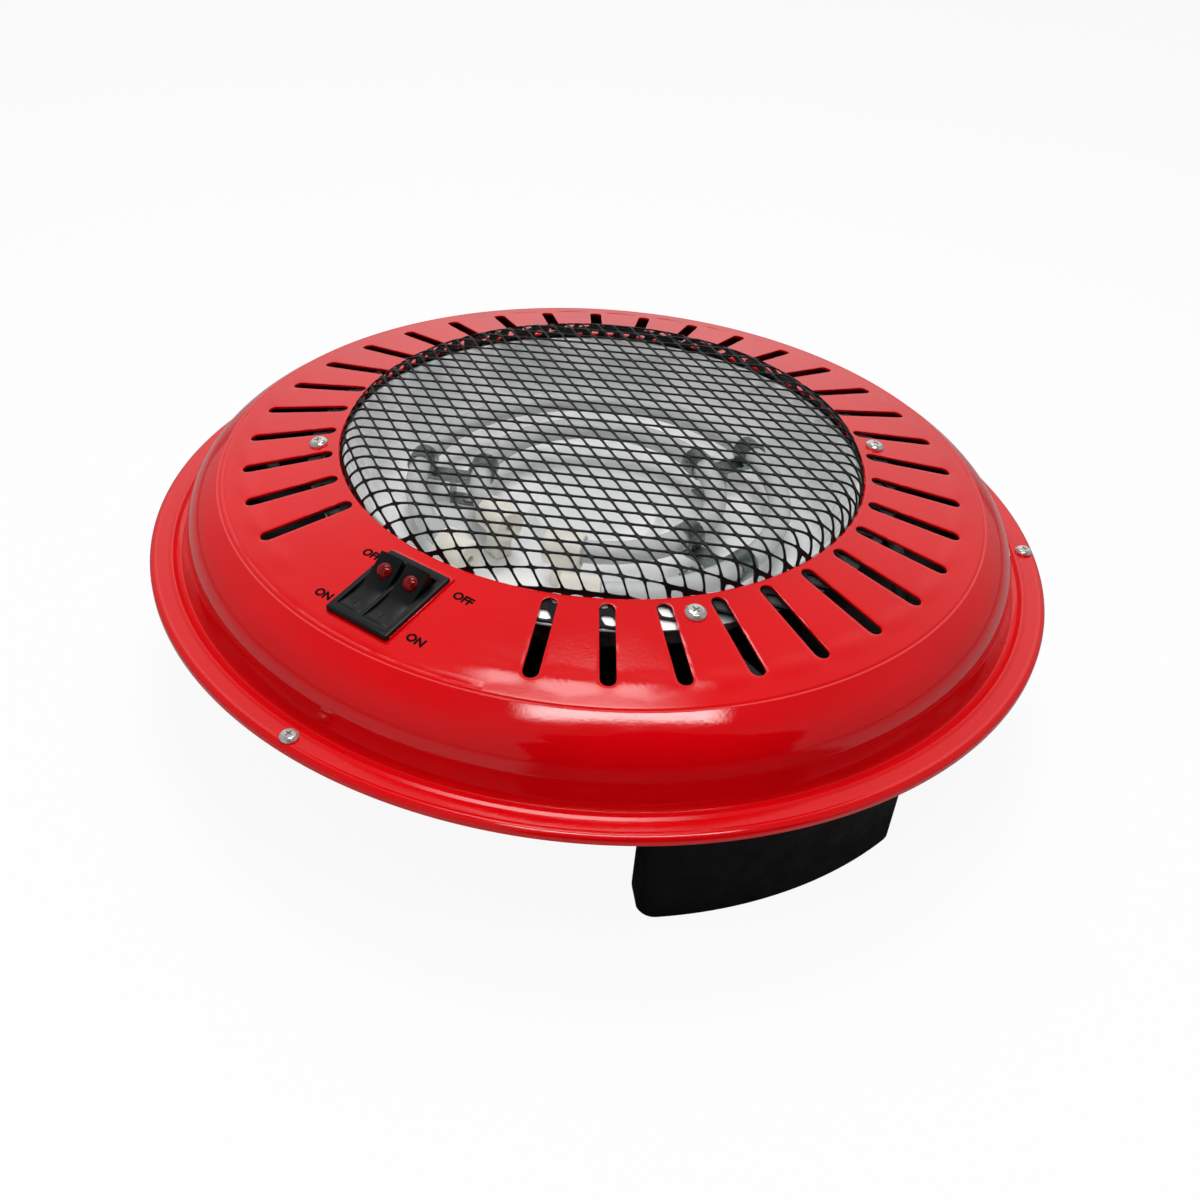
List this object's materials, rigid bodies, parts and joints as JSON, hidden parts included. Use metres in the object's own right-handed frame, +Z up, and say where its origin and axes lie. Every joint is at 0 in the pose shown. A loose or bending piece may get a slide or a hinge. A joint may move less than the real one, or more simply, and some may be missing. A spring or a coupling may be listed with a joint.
{
  "type": "electric brazier",
  "caption": "Round floor or under-table electric brazier: red slotted dome, black wire guard over a bright bowl with quartz rings, twin rocker switch, curved black feet.",
  "frame": {"origin": "centre of the circle of feet, on the surface they stand on", "axes": "+Z up; the switch is at the front, at -Y; +X to the right of someone who faces the switch"},
  "size_m": [0.4, 0.4, 0.114],
  "materials": {
    "red_enamel": "glossy",
    "black_wire": "satin",
    "bright_aluminium": "polished",
    "grey_steel": "satin",
    "black_foot": "satin",
    "bright_screw": "bright nickel",
    "black_switch": "semi-matte",
    "red_lens": "clear",
    "lamp_glass": "clear",
    "brass_blade": "stamped",
    "quartz": "milky",
    "heating_wire": "oxidised",
    "white_ceramic": "steatite ceramic",
    "spring_steel": "plain",
    "glass_sleeve": "woven glass sleeve",
    "white_block": "moulded",
    "black_gland": "moulded",
    "grey_sleeve": "woven sleeve"
  },
  "bodies": {
    "root": {"top_cover": "red_enamel", "mesh_guard": "black_wire", "reflector_dish": "bright_aluminium", "bottom_pan": "grey_steel", "foot_right": "black_foot", "foot_left": "black_foot", "foot_back": "black_foot", "foot_screws": "bright_screw", "cover_screws": "bright_screw", "cover_nuts": "bright_screw", "rim_screws": "bright_screw", "switch_housing": "black_switch", "switch_terminals": "brass_blade", "outer_quartz_tube": "quartz", "inner_quartz_tube": "quartz", "outer_heating_coil": "heating_wire", "inner_heating_coil": "heating_wire", "outer_end_caps": "white_ceramic", "inner_end_caps": "white_ceramic", "tube_clips": "spring_steel", "clip_screws": "bright_screw", "clip_nuts": "bright_screw", "element_leads": "glass_sleeve", "terminal_block": "white_block", "terminal_screws": "brass_blade", "thermal_cutout": "black_switch", "cable_gland": "black_gland", "gland_nut": "black_gland", "wire_loom": "grey_sleeve", "earth_screw": "brass_blade"},
    "left_rocker": {"rocker_left": "black_switch", "lens_left": "red_lens", "neon_lamp_left": "lamp_glass"},
    "right_rocker": {"rocker_right": "black_switch", "lens_right": "red_lens", "neon_lamp_right": "lamp_glass"}
  },
  "joints": [
    {"name": "left_rocker_tilt", "type": "hinge", "parent": "root", "child": "left_rocker", "pos_m": [-0.0064, -0.14124, 0.09818], "axis": [-1, 0, 0], "range_deg": [0, 24]},
    {"name": "right_rocker_tilt", "type": "hinge", "parent": "root", "child": "right_rocker", "pos_m": [0.0064, -0.14124, 0.09818], "axis": [-1, 0, 0], "range_deg": [0, 24]}
  ]
}
